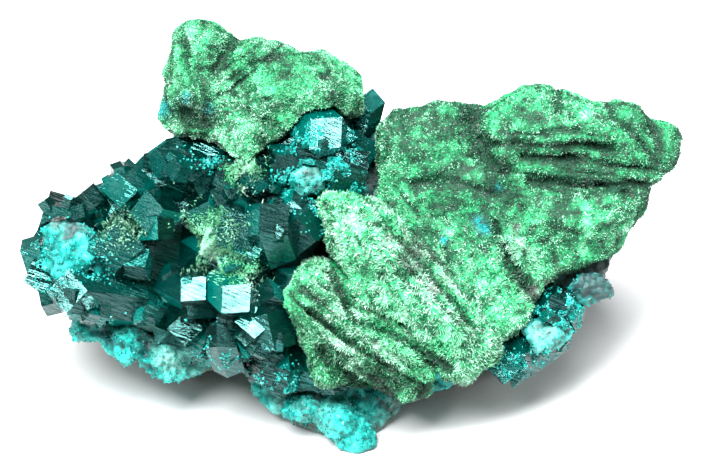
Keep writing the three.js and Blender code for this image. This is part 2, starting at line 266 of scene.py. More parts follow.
def clear_of(points, node, gap):
    """True for each point that is at least that far from a CAD node."""
    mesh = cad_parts[node].data
    tree = BVHTree.FromPolygons([v.co for v in mesh.vertices], [p.vertices for p in mesh.polygons])
    return np.array([tree.find_nearest(Vector(p * MM), gap * MM)[0] is None for p in points])


# Materials
NOISE_SPREAD = (0.3, 0.7)  # nearly all of a noise node's values lie between these
GRAIN_DETAIL = 3
GRAIN_BUMP = 0.6
GRAIN_HEIGHT = 0.0002  # m
LINE_STRETCH = (2.6, 0.35, 1)  # noise cells to a mm, across the growth lines and along them
LINE_DETAIL = 4
LINE_HEIGHT = 0.0005  # m
LINE_STRENGTH = (0.6, 1.0)  # on smooth facets and on lined ones
PATCH_SCALE = 300  # patches of roughness, depth of green as painted reflection and strength of lines, to a metre
PATCH_DETAIL = 3
PATCH_ROUGHNESS = (0.0, 0.16)
PATCH_PAINTED_REFLECTION = (0.2, 1.8)
PATCH_STRENGTH = (0.45, 1.0)
PATCH_MIDDLE = (0.4, 0.6)  # noise values between which the strength of the lines grows


def new_material(name):
    """A new material, its nodes and links, and its main shader."""
    material = bpy.data.materials.new(name)
    material.use_nodes = True
    tree = material.node_tree
    return material, tree.nodes, tree.links, tree.nodes["Principled BSDF"]


def noise_node(nodes, scale, detail):
    node = nodes.new("ShaderNodeTexNoise")
    node.inputs["Scale"].default_value = scale
    node.inputs["Detail"].default_value = detail
    return node


def range_node(nodes, links, source, low, high, spread=(0, 1)):
    """The source's spread as a range from low to high."""
    node = nodes.new("ShaderNodeMapRange")
    node.inputs["From Min"].default_value = spread[0]
    node.inputs["From Max"].default_value = spread[1]
    node.inputs["To Min"].default_value = low
    node.inputs["To Max"].default_value = high
    links.new(source, node.inputs["Value"])
    return node.outputs["Result"]


def scaled_tone(nodes, links, scale):
    """The colour stored in the mesh times a number, and the node that reads the colour."""
    tone = nodes.new("ShaderNodeVertexColor")
    tone.layer_name = "tone"
    scaled = nodes.new("ShaderNodeVectorMath")
    scaled.operation = "SCALE"
    links.new(tone.outputs["Color"], scaled.inputs[0])
    links.new(scale, scaled.inputs["Scale"])
    return scaled.outputs["Vector"], tone


def toned(name, roughness, shine, grain, grain_depth):
    """A material that takes its colour from the mesh, with a fine grain over it."""
    material, nodes, links, shader = new_material(name)
    place = nodes.new("ShaderNodeTexCoord")
    fine = noise_node(nodes, grain, GRAIN_DETAIL)
    links.new(place.outputs["Object"], fine.inputs["Vector"])
    grained = fine.outputs["Fac"]
    light = range_node(nodes, links, grained, 1 - grain_depth, 1 + grain_depth, NOISE_SPREAD)
    colour, _ = scaled_tone(nodes, links, light)
    links.new(colour, shader.inputs["Base Color"])
    dullness = range_node(nodes, links, grained, *roughness, NOISE_SPREAD)
    links.new(dullness, shader.inputs["Roughness"])
    shader.inputs["Specular IOR Level"].default_value = shine
    bump = nodes.new("ShaderNodeBump")
    bump.inputs["Strength"].default_value = GRAIN_BUMP
    bump.inputs["Distance"].default_value = GRAIN_HEIGHT
    links.new(grained, bump.inputs["Height"])
    links.new(bump.outputs["Normal"], shader.inputs["Normal"])
    return material


def dioptase_material():
    """Clear deep green crystal: coloured by what it absorbs and by painted internal reflections in its
    base colour, with growth lines on its faces.
    """
    material, nodes, links, shader = new_material("dioptase")
    shader.inputs["Transmission Weight"].default_value = 0.75
    shader.inputs["IOR"].default_value = 1.67
    shader.inputs["Specular Tint"].default_value = (0.4, 1, 0.95, 1)
    place = nodes.new("ShaderNodeTexCoord")
    patches = noise_node(nodes, PATCH_SCALE, PATCH_DETAIL)
    links.new(place.outputs["Object"], patches.inputs["Vector"])
    patch = patches.outputs["Fac"]
    links.new(range_node(nodes, links, patch, *PATCH_ROUGHNESS), shader.inputs["Roughness"])
    # Painted internal reflections: the facet's depth of green, deeper or paler in patches
    colour, tone = scaled_tone(nodes, links, range_node(nodes, links, patch, *PATCH_PAINTED_REFLECTION))
    links.new(colour, shader.inputs["Base Color"])
    bump = growth_lines(nodes, links, place.outputs["UV"], tone.outputs["Alpha"], patch)
    links.new(bump, shader.inputs["Normal"])
    soak = nodes.new("ShaderNodeVolumeAbsorption")
    soak.inputs["Color"].default_value = (0.0, 0.82, 0.79, 1)
    soak.inputs["Density"].default_value = 250
    links.new(soak.outputs["Volume"], nodes["Material Output"].inputs["Volume"])
    return material


def growth_lines(nodes, links, flat, lined, patch):
    """Lines along each facet as a bump, stronger on lined facets and in some patches."""
    stretch = nodes.new("ShaderNodeMapping")
    stretch.inputs["Scale"].default_value = LINE_STRETCH
    links.new(flat, stretch.inputs["Vector"])
    lines = noise_node(nodes, 1.0, LINE_DETAIL)
    links.new(stretch.outputs["Vector"], lines.inputs["Vector"])
    strength = nodes.new("ShaderNodeMath")
    strength.operation = "MULTIPLY"
    links.new(range_node(nodes, links, lined, *LINE_STRENGTH), strength.inputs[0])
    links.new(range_node(nodes, links, patch, *PATCH_STRENGTH, PATCH_MIDDLE), strength.inputs[1])
    bump = nodes.new("ShaderNodeBump")
    bump.inputs["Distance"].default_value = LINE_HEIGHT
    links.new(strength.outputs["Value"], bump.inputs["Strength"])
    links.new(lines.outputs["Fac"], bump.inputs["Height"])
    return bump.outputs["Normal"]


# Pieces

def dress(obj, material, slot, *nodes):
    obj.data.materials.clear()
    obj.data.materials.append(material)
    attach(obj, "root")
    if nodes:
        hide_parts(*nodes)


# Malachite: dark green, used as painted shade between the tufts, mid green, and leaf green or mint at the
# fibres' tips
DARK_GREEN = np.array([0.002, 0.03, 0.014])
MID_GREEN = np.array([0.012, 0.28, 0.1])
LEAF = np.array([0.2, 0.76, 0.4])
MINT = np.array([0.57, 0.8, 0.7])
GREY = np.array([0.17, 0.2, 0.185])
CYAN = np.array([0.0, 0.42, 0.42])

# Cracks and pits: a line across and up the show face, a half width and a depth; the depth sets them in and
# also paints shade into them
CRACKS = [
    ([(17.8, 8), (22.8, 7.8)], 0.5, 0.9),
    ([(18.5, 5.8), (21.4, 5.7), (26.1, 5.3), (28.9, 4.4)], 0.5, 1.2),
    ([(19.7, 10.9), (23.3, 11.1)], 0.4, 0.6),
    ([(21.6, 15.6), (21.2, 13.3)], 0.4, 0.8),
    ([(16.3, -2.9), (18.7, -5.7)], 0.7, 1.0),
    ([(-2.2, -3.6), (-1.2, -6.2), (-0.4, -8.4)], 0.4, 1.6),
    ([(-4.6, -7.8), (-2, -9.7), (2.3, -12.8), (7.6, -16)], 0.4, 1.6),
    ([(-3.8, -12.1), (-0.3, -14.9), (4.4, -17.5)], 0.4, 1.6),
    ([(-0.1, -8.8), (4.1, -10.2), (6.7, -11.8), (10, -13.7)], 0.5, 1.2),
    ([(12.8, 13.8), (12.4, 11), (13.6, 8.4), (16, 6.8)], 0.7, 1.4),
    ([(26.4, 14.6), (27.2, 12.4), (30, 9.8), (31.6, 7.8)], 0.4, 0.8),
    ([(30.6, 13), (31.6, 11), (32, 8.8)], 0.5, 1.0),
    ([(5.4, 1.2), (12.2, -6.4)], 0.35, 0.7),
    ([(15.4, -1), (17, -4.4), (19.2, -7)], 0.4, 0.9),
    ([(14, 9.6), (20, 9.2), (27, 9.4)], 0.4, 0.6),
    ([(6, 5.4), (10, 5.8), (14.6, 4.4)], 0.5, 0.7),
    ([(14.7, 1.3), (15, 0.3)], 0.5, 1.0),
    ([(-12.4, 20.8), (-13.6, 18.6), (-14.6, 17.2)], 0.6, 0.9),
    ([(-12.9, 16.4), (-10, 18.2), (-7.4, 19)], 0.5, 0.5),
    ([(-17.8, 12.6), (-15.6, 11.6)], 0.9, 1.2),
    ([(-3.5, 16.9), (-3.1, 16.6)], 0.5, 1.0),
    ([(-15.9, 22.3), (-15.5, 21.9)], 0.4, 0.8),
    ([(-9, 12), (-8, 11.4)], 0.5, 0.8),
]
# Combed areas: a line along the middle, a half width, and the way the streaks run; the streaks are set in
# and painted with shade like the cracks
STREAKS = [
    ([(3, 1), (11.5, -9)], 2.8, (0.64, -0.77)),
    ([(17, 8), (29, 6.8)], 2.6, (1, -0.08)),
    ([(-5, -8), (5, -15)], 3.5, (0.75, -0.66)),
    ([(-18, 19), (-17.4, 14)], 2, (0.2, -0.98)),
    ([(-12, 16), (-8, 18.6)], 1.6, (0.8, 0.6)),
]
STREAK_LENGTH = 6
STREAK_GAP = 0.5
STREAK_DEPTH = 1.6
STREAK_START = 0.05  # noise above which a streak is cut

# Spots of colour: across, up, radius. Strokes: a line and a half width
PALE_SPOTS = [(0, 1, 4), (3.5, -4, 4.5), (8, -9.2, 5), (12, -12.5, 3), (17, -2.5, 3), (0, -12, 3.5)]
# Some dark spots are painted shade: along the top edge of the left lobe and in the hole in the crest
DARK_AND_SHADE_SPOTS = [(6.5, 9, 5.5), (6.5, 13, 2.5), (10, 12.5, 2.5), (14, 5, 3), (-17, 12.4, 1.6),
              (22, 5.2, 2), (33, 5, 3), (-5, -9, 1.5)]
CYAN_SPOTS = [(12.9, 1.5, 0.6), (13.6, 0.6, 0.5), (15.1, 5.1, 0.35), (9.4, -0.4, 0.4), (-17.6, 14.4, 0.5),
              (-15.2, 13.2, 0.5), (-20.2, 13.4, 0.8)]
GREY_STROKES = [
    ([(3.2, 0), (9, -5.7)], 0.6),
    ([(4.6, 1.1), (10.5, -4.9)], 0.5),
    ([(7, -4.5), (12, -10)], 0.6),
    ([(18.9, -5.9), (21.6, -4.4)], 1.3),
    ([(17.2, 0.6), (18, -1.2)], 0.7),
    ([(2.4, -11.2), (4.2, -12)], 0.8),
]
# Where a lobe bulges or, once, is set in: across, up, radius, height
SWELLS = [(29.5, 13.4, 2.2, 0.6), (33.4, 11.6, 1.3, 0.6), (35.4, 10.2, 1.2, -0.8), (33, 8.4, 1.6, 0.7),
          (32, 6.6, 1.6, 0.7), (-17.4, 22, 2.4, 0.6), (-19.6, 11.4, 1.8, 0.6), (30.4, 2, 2.5, 0.6)]

# Shape of the skin and fibres
MALACHITE_VOXEL = 0.3
MALACHITE_ROUNDS = 4
TUFT_SIZE = 1.3
TUFT_WARP = 0.4  # how far tufts are pulled out of round
WARP_SIZE = 1.0
TUFT_HEIGHT = 0.55
TUFT_MIDDLE = 0.7  # of a tuft's height, which lies at the skin's own level
LUMP_SIZE = 2.6
LUMP_HEIGHT = 0.45
SKIN_DEPTH = 0.18  # how far the lobe's skin lies under the CAD surface, near which the fibres end
SKIN_LEAST = 0.05  # the least that it does, apart from swells
CRACK_WRAP = 0.3  # how far cracks go round the side of a lobe
SHORT_FIBRE = 0.28
LONG_FIBRE = 0.6  # on the pale tongue
FIBRE_VARIES = (0.5, 1.1)  # shares of those lengths
FIBRE_RADII = (0.06, 0.12)
FIBRE_ROOT = 0.05  # how deep a fibre starts in what it grows on
FIBRE_REACH = 0.3  # how far out a fibre is tested against its neighbours
FIBRE_GAP = 0.35  # kept clear of other minerals
FIBRE_JITTER = 0.55
FIBRE_WRAP = 0.5  # how far fibres stay dense round the side of a lobe
FIBRE_BACK = 0.2  # how dense they are on its back, where 1 is the front
LEAN_SIZE = 1.2  # of the swirls in which fibres lean
LEAST_OUTWARD = 0.3  # the least outward share of a fibre's direction
DULL_SHARE = 0.06  # of the fibres, with grey tips

# Lightness, where 0 is the darkest green, a half the mid green and 1 the palest
SPOT_SHIFT = 0.28  # on pale spots, and down on dark ones, some of them painted shade
BLOTCH_SIZE = 2.4
BLOTCH_SHIFT = 0.26
# Painted shade of small pits, as dark specks; the mesh has no pits there
PIT_SHADE_SIZE = 0.8
PIT_SHADE_START = 0.35
PIT_SHADE_DARKEST = 0.5
BASE_LIGHT = 0.03
LIGHTEST = 0.9
MINT_SHARE = 0.62
MINT_SIZE = 3.5
MINT_ON_PALE = 0.4
# Painted shade: CRACK_SHADE darkens cracks and streaks, SKIN_SHADE the skin under the fibres, ROOT_SHADE
# the fibres' roots; TIP_LIGHT is painted light on their tips
CRACK_SHADE = 0.7
SKIN_SHADE = 0.15
FIBRE_LIGHT = 0.21
FIBRE_SPREAD = 0.25
ROOT_SHADE = 0.4
TIP_LIGHT = 0.12
DULL_LIGHT = (0.3, 1.6)  # shares of grey at the dull tips
# Painted shade between the tufts and painted light on their middles, on the skin and on the fibres
SKIN_TUFT_PAINTED_SHADING = 0.5
FIBRE_TUFT_PAINTED_SHADING = 0.45
FIBRE_BLOTCH_SIZE = 0.6
FIBRE_BLOTCH_SHIFT = 0.3
CYAN_SIZE = 0.4
CYAN_SHARE = 0.9
CYAN_LIGHT = 0.3
GREY_SIZE = 0.7
GREY_SHARE = 0.35
GREY_CONTRAST = 0.9
GREY_MOST = 0.85
GREY_LIGHT = 0.4


def malachite_tone(points, lightness):
    """The malachite's colour: pale on the tongue and folds, with grey streaks and spots of cyan, darker in
    painted pit shade and in dark spots, some of them painted shade.
    """
    face = on_face(points)
    pale = spotted(face, PALE_SPOTS)
    # Dark spots, partly painted shade
    dark_and_shade = spotted(face, DARK_AND_SHADE_SPOTS)
    cyan = sum(near_spot(face, *spot) for spot in CYAN_SPOTS)
    cyan = np.clip(cyan * (CYAN_SHARE + CYAN_SHARE * noise(points, CYAN_SIZE, 33)), 0, 1)
    grey = np.clip(sum(near_stroke(face, *stroke) for stroke in GREY_STROKES), 0, 1)
    grey = grey * np.clip(GREY_SHARE + GREY_CONTRAST * noise(points, GREY_SIZE, 31), 0, GREY_MOST)
    # Painted shade of small pits
    pit_shade = np.clip(noise(points, PIT_SHADE_SIZE, 55) - PIT_SHADE_START, 0, PIT_SHADE_DARKEST)
    blotches = BLOTCH_SHIFT * rough(points, BLOTCH_SIZE, 21)
    level = lightness + SPOT_SHIFT * pale - SPOT_SHIFT * dark_and_shade + blotches - pit_shade + BASE_LIGHT
    level = np.clip(level, 0, LIGHTEST)[:, None]
    minty = np.clip(MINT_SHARE + rough(points, MINT_SIZE, 35) + MINT_ON_PALE * pale, 0, 1)[:, None]
    low = DARK_GREEN + (MID_GREEN - DARK_GREEN) * np.minimum(level * 2, 1)
    tone = low + (LEAF + (MINT - LEAF) * minty - MID_GREEN) * np.maximum(level * 2 - 1, 0)
    tone = tone + (GREY * (GREY_LIGHT + level) - tone) * grey[:, None]
    return tone + (CYAN * (CYAN_LIGHT + level) - tone) * cyan[:, None]


def malachite_tufts(points):
    """1 at the middle of each uneven tuft, falling to 0 between tufts."""
    return tufts(points + TUFT_WARP * swirl(points, WARP_SIZE, 1), TUFT_SIZE, 5)


def crack_depth(face):
    """How deep the cracks and the combed streaks go at each point."""
    total = sum(depth * near_stroke(face, line, width) for line, width, depth in CRACKS)
    for line, width, (right, up) in STREAKS:
        along = face[:, 0] * right + face[:, 1] * up
        across = face[:, 1] * right - face[:, 0] * up
        lines = noise(np.stack([along / STREAK_LENGTH, across / STREAK_GAP, 0 * along], axis=1), 1, 57)
        total = total + STREAK_DEPTH * np.clip(lines - STREAK_START, 0, 1) * near_stroke(face, line, width)
    return total


def malachite_skin(node):
    """The lobe under its fibres: tufted, cracked and a little set in."""
    mesh = fine_mesh(node, MALACHITE_VOXEL, MALACHITE_ROUNDS)
    points, normals = corners(mesh)
    face = on_face(points)
    tuft = malachite_tufts(points)
    crack = crack_depth(face)
    front = np.clip(normals @ FACE_OUT + CRACK_WRAP, 0, 1)
    lumps = LUMP_HEIGHT * rough(points, LUMP_SIZE, 9)
    rise = TUFT_HEIGHT * (tuft - TUFT_MIDDLE) + lumps - SKIN_DEPTH - crack * front
    rise = np.minimum(rise, -SKIN_LEAST) + sum(high * near_spot(face, *spot) for *spot, high in SWELLS)
    move_to(mesh, points + normals * rise[:, None])
    # Painted shade: the skin is darker between the tufts, under the fibres and in the cracks
    lightness = SKIN_TUFT_PAINTED_SHADING * tuft - SKIN_SHADE - CRACK_SHADE * np.clip(crack, 0, 1)
    colour_points(mesh, malachite_tone(points, lightness))
    mesh.shade_smooth()
    return new_object(node + "_skin", mesh)


def malachite_fibres(node, skin, count, avoid):
    """Fine spikes that stand on the lobe, most of them on its front, each leaning its own way."""
    _, skin_normals = corners(skin.data)
    density = np.clip(skin_normals @ FACE_OUT + FIBRE_WRAP, FIBRE_BACK, 1)
    points, normals = spots_on(skin.data, count, density)
    clear = np.ones(count, dtype=bool)
    for other in avoid:
        clear &= clear_of(points + normals * FIBRE_REACH, other, FIBRE_GAP)
    points, normals = points[clear], normals[clear]
    lean = swirl(points, LEAN_SIZE, 41)
    jitter = rng.normal(0, FIBRE_JITTER, points.shape)
    directions = unit(normals + lean + jitter)
    outward = (directions * normals).sum(axis=1)
    directions = unit(directions + normals * np.clip(LEAST_OUTWARD - outward, 0, None)[:, None])
    face = on_face(points)
    pale = spotted(face, PALE_SPOTS)
    lengths = (SHORT_FIBRE + (LONG_FIBRE - SHORT_FIBRE) * pale) * rng.uniform(*FIBRE_VARIES, len(points))
    radii = rng.uniform(*FIBRE_RADII, len(points))
    spike, faces = spikes(points - normals * FIBRE_ROOT, directions, lengths, radii)
    # Painted shade and light: fibres are darker in cracks, streaks and between tufts, darker at the root
    # and lighter at the tip
    shade = CRACK_SHADE * np.clip(crack_depth(face), 0, 1)
    blotches = FIBRE_BLOTCH_SHIFT * noise(points, FIBRE_BLOTCH_SIZE, 51)
    level = FIBRE_LIGHT + FIBRE_TUFT_PAINTED_SHADING * malachite_tufts(points) + blotches - shade
    level = level + rng.normal(0, FIBRE_SPREAD, len(points))
    root = malachite_tone(points, level - ROOT_SHADE)
    tip = malachite_tone(points, level + TIP_LIGHT)
    dull = rng.random(len(points)) < DULL_SHARE
    tip[dull] = GREY * rng.uniform(*DULL_LIGHT, (dull.sum(), 1))
    return spike_object(node + "_fibres", spike, faces, root, tip)


def build_malachite():
    skin_look = toned("malachite", roughness=(0.6, 0.85), shine=0.3, grain=3200, grain_depth=0.8)
    fibre_look = toned("malachite_fibre", roughness=(0.35, 0.6), shine=0.5, grain=2500, grain_depth=0.4)
    # How many fibres each lobe gets, and what they keep clear of
    plan = {
        "malachite_mass": (49000, ["dioptase_crystals", "dioptase_edge_crystals", "malachite_folds"]),
        "malachite_crest": (34000, ["dioptase_crystals", "malachite_mass"]),
        "malachite_folds": (28000, ["dioptase_crystals", "malachite_mass"]),
    }
    for node, (count, avoid) in plan.items():
        skin = malachite_skin(node)
        dress(skin, skin_look, "malachite", node)
        dress(malachite_fibres(node, skin, count, avoid), fibre_look, "malachite")


# Matrix: a bright turquoise crust along the show face's rim, stained rock behind it
TURQUOISE = np.array([0.0, 0.21, 0.18])
PALE_TURQUOISE = np.array([0.03, 0.47, 0.42])
DEEP_TEAL = np.array([0.0, 0.03, 0.035])
ROCK = np.array([0.16, 0.17, 0.14])
SPECKLED = np.array([0.03, 0.08, 0.08])  # where the rock shows through the crust

# Spots on the show face: where the crust is dark, partly as painted shade where it lies between the
# malachite and the crystals, and where the rock shows through it
MATRIX_DARK_AND_SHADE_SPOTS = [(29.5, 0.5, 4.5), (33, 8, 4), (2.6, 8, 4), (-31, 3, 2), (25.2, -5.2, 3)]
BARE_SPOTS = [(25.2, -5.2, 3), (29.5, 0, 3), (-29.6, 1, 1.6)]

MATRIX_VOXEL = 0.32
MATRIX_ROUNDS = 2
CRUST_END = -9  # out of the face, where the crust has faded into rock
CRUST_FADE = 7  # the distance over which it fades
FLOOR_MARGIN = 1.5  # height over which the rock's lumps fade to the flat base
GRAPE_SIZE = 0.8  # of the crust's small round lumps
GRAPE_HEIGHT = 0.5
GRAPE_MIDDLE = 0.6  # of their height, which lies at the rock's own level
ROCK_LUMP_SIZE = 2.2
ROCK_LUMP_HEIGHT = 0.55
ROCK_DEPTH = 0.2  # how far the rock's skin lies under the CAD surface
ROCK_HIGHEST = 0.3  # the most that a lump stands above it
DRUSE_COUNT = 16000
DRUSE_LENGTHS = (0.15, 0.45)
DRUSE_RADII = (0.08, 0.2)
DRUSE_ROOT = 0.08
DRUSE_JITTER = 0.5
DRUSE_LEAST = 0.1  # how dense the druse is between the small round lumps, where 1 is their tops
DRUSE_LOST = 0.6  # share of it that dark spots lack
DRUSE_START = 0.5  # share of the floor margin below which there is none

# Lightness, where 0 is deep teal, a half turquoise and 1 pale turquoise
CRUST_LIGHT = 0.46
# Painted shade in the hollows between the lumps and painted light on their tops
LUMP_PAINTED_SHADING = 0.45
SPECK_SIZE = 0.6
SPECK_LIGHT = 0.4
DARK_SHADE = 0.45
PALE_START = 1.1  # twice the lightness at which the pale turquoise begins
BARE_SIZE = 0.7
BARE_SHARE = 1.1
BARE_CONTRAST = 0.8
STAIN_SIZE = 5
STAIN_CONTRAST = 0.5
ROCK_SHADE = 0.6  # share of its colour in the rock's pits, as painted shade
ROCK_LIGHT = 0.8  # what its tips have above that, as painted light
DRUSE_LIGHT = (0.5, 0.24)  # mean and spread
# Painted shade: the druse is darker in the rock's hollows and lighter on its lumps
DRUSE_LUMP_PAINTED_SHADING = 0.35


def turquoise_tone(light):
    """The crust's colour, from deep teal to pale turquoise; on the crust, dark is painted shade in its
    pits and pale is painted light on its tips.
    """
    light = np.clip(light, 0, 1)[:, None]
    tone = DEEP_TEAL + (TURQUOISE - DEEP_TEAL) * np.minimum(light * 2, 1)
    return tone + (PALE_TURQUOISE - TURQUOISE) * np.maximum(light * 2 - PALE_START, 0)


def build_matrix():
    """The rock with its crust, and the druse on the crust."""
    mesh = fine_mesh("matrix", MATRIX_VOXEL, MATRIX_ROUNDS)
    points, normals = corners(mesh)
    face = on_face(points)
    grape = tufts(points, GRAPE_SIZE, 61)
    grapes = GRAPE_HEIGHT * (grape - GRAPE_MIDDLE)
    front = np.clip((face[:, 2] - CRUST_END) / CRUST_FADE, 0, 1)
    off_floor = np.clip(points[:, 2] / FLOOR_MARGIN, 0, 1)
    lumps = rough(points, ROCK_LUMP_SIZE, 63)
    rise = (grapes + ROCK_LUMP_HEIGHT * lumps - ROCK_DEPTH) * off_floor
    move_to(mesh, points + normals * np.minimum(rise, ROCK_HIGHEST)[:, None])
    # Dark spots, partly painted shade between the malachite and the crystals
    dark_and_shade = spotted(face, MATRIX_DARK_AND_SHADE_SPOTS)
    specks = SPECK_LIGHT * noise(points, SPECK_SIZE, 67)
    # Painted shade: the crust is darker in the hollows between its lumps and grapes and lighter on their
    # tops
    light = CRUST_LIGHT + LUMP_PAINTED_SHADING * lumps + grapes + specks - DARK_SHADE * dark_and_shade
    bare = sum(near_spot(face, *spot) for spot in BARE_SPOTS)
    bare = bare * (BARE_SHARE + BARE_CONTRAST * noise(points, BARE_SIZE, 69))
    blue = np.clip(front + STAIN_CONTRAST * rough(points, STAIN_SIZE, 65) - bare, 0, 1)[:, None]
    rock = ROCK + (SPECKLED - ROCK) * np.clip(bare, 0, 1)[:, None]
    rock = rock * (ROCK_SHADE + ROCK_LIGHT * np.clip(light, 0, 1)[:, None])
    colour_points(mesh, rock * (1 - blue) + turquoise_tone(light) * blue)
    obj = new_object("matrix_rock", mesh)
    mesh.shade_smooth()
    rock_look = toned("matrix", roughness=(0.35, 0.75), shine=0.3, grain=2000, grain_depth=0.6)
    dress(obj, rock_look, "matrix", "matrix")
    crusted = front**2 * np.clip(grape, DRUSE_LEAST, 1) * (1 - DRUSE_LOST * dark_and_shade)
    weight = crusted * np.clip(1 - bare, 0, 1) * (off_floor > DRUSE_START) + TINY
    druse_look = toned("druse", roughness=(0.2, 0.5), shine=0.45, grain=2500, grain_depth=0.3)
    dress(build_druse(obj, weight), druse_look, "matrix")


def build_druse(rock, weight):
    """Tiny turquoise crystals over the rock's front."""
    points, normals = spots_on(rock.data, DRUSE_COUNT, weight)
    jitter = rng.normal(0, DRUSE_JITTER, points.shape)
    directions = unit(normals + jitter)
    lengths = rng.uniform(*DRUSE_LENGTHS, len(points))
    radii = rng.uniform(*DRUSE_RADII, len(points))
    spike, faces = spikes(points - normals * DRUSE_ROOT, directions, lengths, radii)
    light = rng.normal(*DRUSE_LIGHT, len(points))
    # Painted shade: the druse is darker in the rock's hollows
    light = light + DRUSE_LUMP_PAINTED_SHADING * rough(points, ROCK_LUMP_SIZE, 63)
    tone = turquoise_tone(light)
    return spike_object("matrix_druse", spike, faces, tone, tone)


# Dioptase: facets of different depth of green, which paints internal reflections, broken up by small
# crystals, with dust and tufts on some
DIOPTASE = np.array([0.0, 0.1, 0.083])
# Painted internal reflections: each facet's depth of green, drawn at random
FACET_DARKEST = 0.2  # share of that colour on the darkest facets
FACET_REFLECTION_RANGE = 2.8  # what the palest ones have above it
SMOOTH_SHARE = 0.4  # of the facets, which show weaker growth lines
PLANE_TURNS = 20  # steps of direction that tell one facet's plane from another's
PLANE_STEPS = 3  # steps of height that do, to a mm
GROWTH_WAY = np.array([0.36, 0.48, 0.8])  # growth lines run square to this
LINE_SHIFT = 50  # sets the lines of facets that face different ways apart
CAP_SLOPE = 1.233  # fall of the three end faces of a dioptase crystal

# Across and up the show face, a radius, and how many crystals or fibres
BROKEN_SPOTS = [(-28, -7, 3, 5), (-19, -4, 2, 6), (-2, 8, 3, 6), (-13, -12.5, 2.4, 7), (-7, 2.6, 2, 5),
                (-13, 6, 3, 6), (-20, 8, 4, 9), (-29, 3, 3, 6), (-22, -8.6, 3, 6), (-9, -14, 3, 8)]
DUST_SPOTS = [(-4, 8.4, 2.6, 4000), (-3, 5, 2, 4000), (-5.4, 6.4, 1.6, 2000), (-1.6, 3, 1.6, 2000),
              (-15.4, 8.4, 1.4, 300), (-30, -2.4, 3, 1200), (-27.4, -9.4, 1.8, 300),
              (-8, -17.4, 2.6, 900), (-14.6, -12.6, 2, 500)]
EDGE_DUST_SPOTS = [(21, -8.6, 2.5, 2500), (17, -13, 2, 1500), (24, -6.6, 2, 900)]
TUFT_SPOTS = [(-14.6, -0.4, 2, 8500), (-11.6, -3.4, 1.6, 1200), (-24.4, 0.4, 1.5, 700),
              (-11.6, 6.6, 1.2, 4500)]
LOWEST_EDGE = -20  # the edge crystals lie behind the show face
TRIED_PLACES = 200000

# Small crystals, dust, and the fibres of the malachite tufts
SMALL_RADII = (0.5, 1.2)
SMALL_PROUD = (0.3, 0.9)  # how far a small crystal's tip stands out, in its radii
SMALL_LENGTH = 3  # in its radii
SMALL_JITTER = 0.35
SMALL_FORWARD = 0.3  # how much small crystals turn to the front
DUST_LENGTHS = (0.1, 0.25)
DUST_RADII = (0.1, 0.25)
DUST_ROOT = 0.06
DUST_PATCH = 0.9  # size of the patches that it lies in
DUST_FRAY = 0.15  # how ragged the edges of its patches are
DUST_START = 0.1  # noise above which a patch begins
DUST_LIGHT = (0.55, 0.25)  # mean and spread
TUFT_LENGTHS = (0.2, 0.55)
TUFT_RADII = (0.04, 0.09)
TUFT_PATCH = 1.0  # and the same for the tufts
TUFT_FRAY = 0.2
TUFT_START = -0.2
TUFT_LEAN_SIZE = 1.0
TUFT_FORWARD = 0.5
TUFT_JITTER = 0.35
TUFT_LIGHT = (0.72, 0.18)  # mean and spread
# Painted shade at the tufts' fibre roots and painted light at their tips
TUFT_ROOT_SHADE = 0.2
TUFT_TIP_LIGHT = 0.25


def facet_lines(mesh):
    """Lays each facet out flat in mm, so that growth lines can run along it."""
    layer = mesh.uv_layers.new(name="facet")
    points, _ = corners(mesh)
    spots = np.empty((len(mesh.loops), 2))
    for polygon in mesh.polygons:
        normal = np.array(polygon.normal)
        along = np.cross(normal, GROWTH_WAY)
        along /= np.linalg.norm(along)
        across = np.cross(normal, along)
        at = points[list(polygon.vertices)]
        shift = LINE_SHIFT * (normal @ GROWTH_WAY)
        loops = slice(polygon.loop_start, polygon.loop_start + polygon.loop_total)
        spots[loops] = np.stack([at @ across + shift, at @ along - shift], axis=1)
    layer.data.foreach_set("uv", spots.ravel())


def facet_tones(mesh):
    """Gives each flat facet its own depth of green, a painted internal reflection, and as the alpha 1 if
    it is lined or 0 if smooth.
    """
    normals = np.empty(len(mesh.polygons) * 3)
    mesh.polygon_normals.foreach_get("vector", normals)
    normals = normals.reshape(-1, 3)
    centres = np.empty(len(mesh.polygons) * 3)
    mesh.polygons.foreach_get("center", centres)
    height = (centres.reshape(-1, 3) / MM * normals).sum(axis=1, keepdims=True)
    planes = np.rint(normals * PLANE_TURNS + height * PLANE_STEPS).astype(np.int64)
    rgba = np.empty((len(planes), 4))
    # Painted internal reflection: a random depth of green for each facet
    rgba[:, :3] = DIOPTASE * (FACET_DARKEST + FACET_REFLECTION_RANGE * lattice(planes, 81)[:, None] ** 3)
    rgba[:, 3] = lattice(planes, 82) > SMOOTH_SHARE
    sizes = np.empty(len(planes), dtype=np.int32)
    mesh.polygons.foreach_get("loop_total", sizes)
    layer = mesh.color_attributes.new("tone", "FLOAT_COLOR", "CORNER")
    layer.data.foreach_set("color", np.repeat(rgba, sizes, axis=0).ravel())


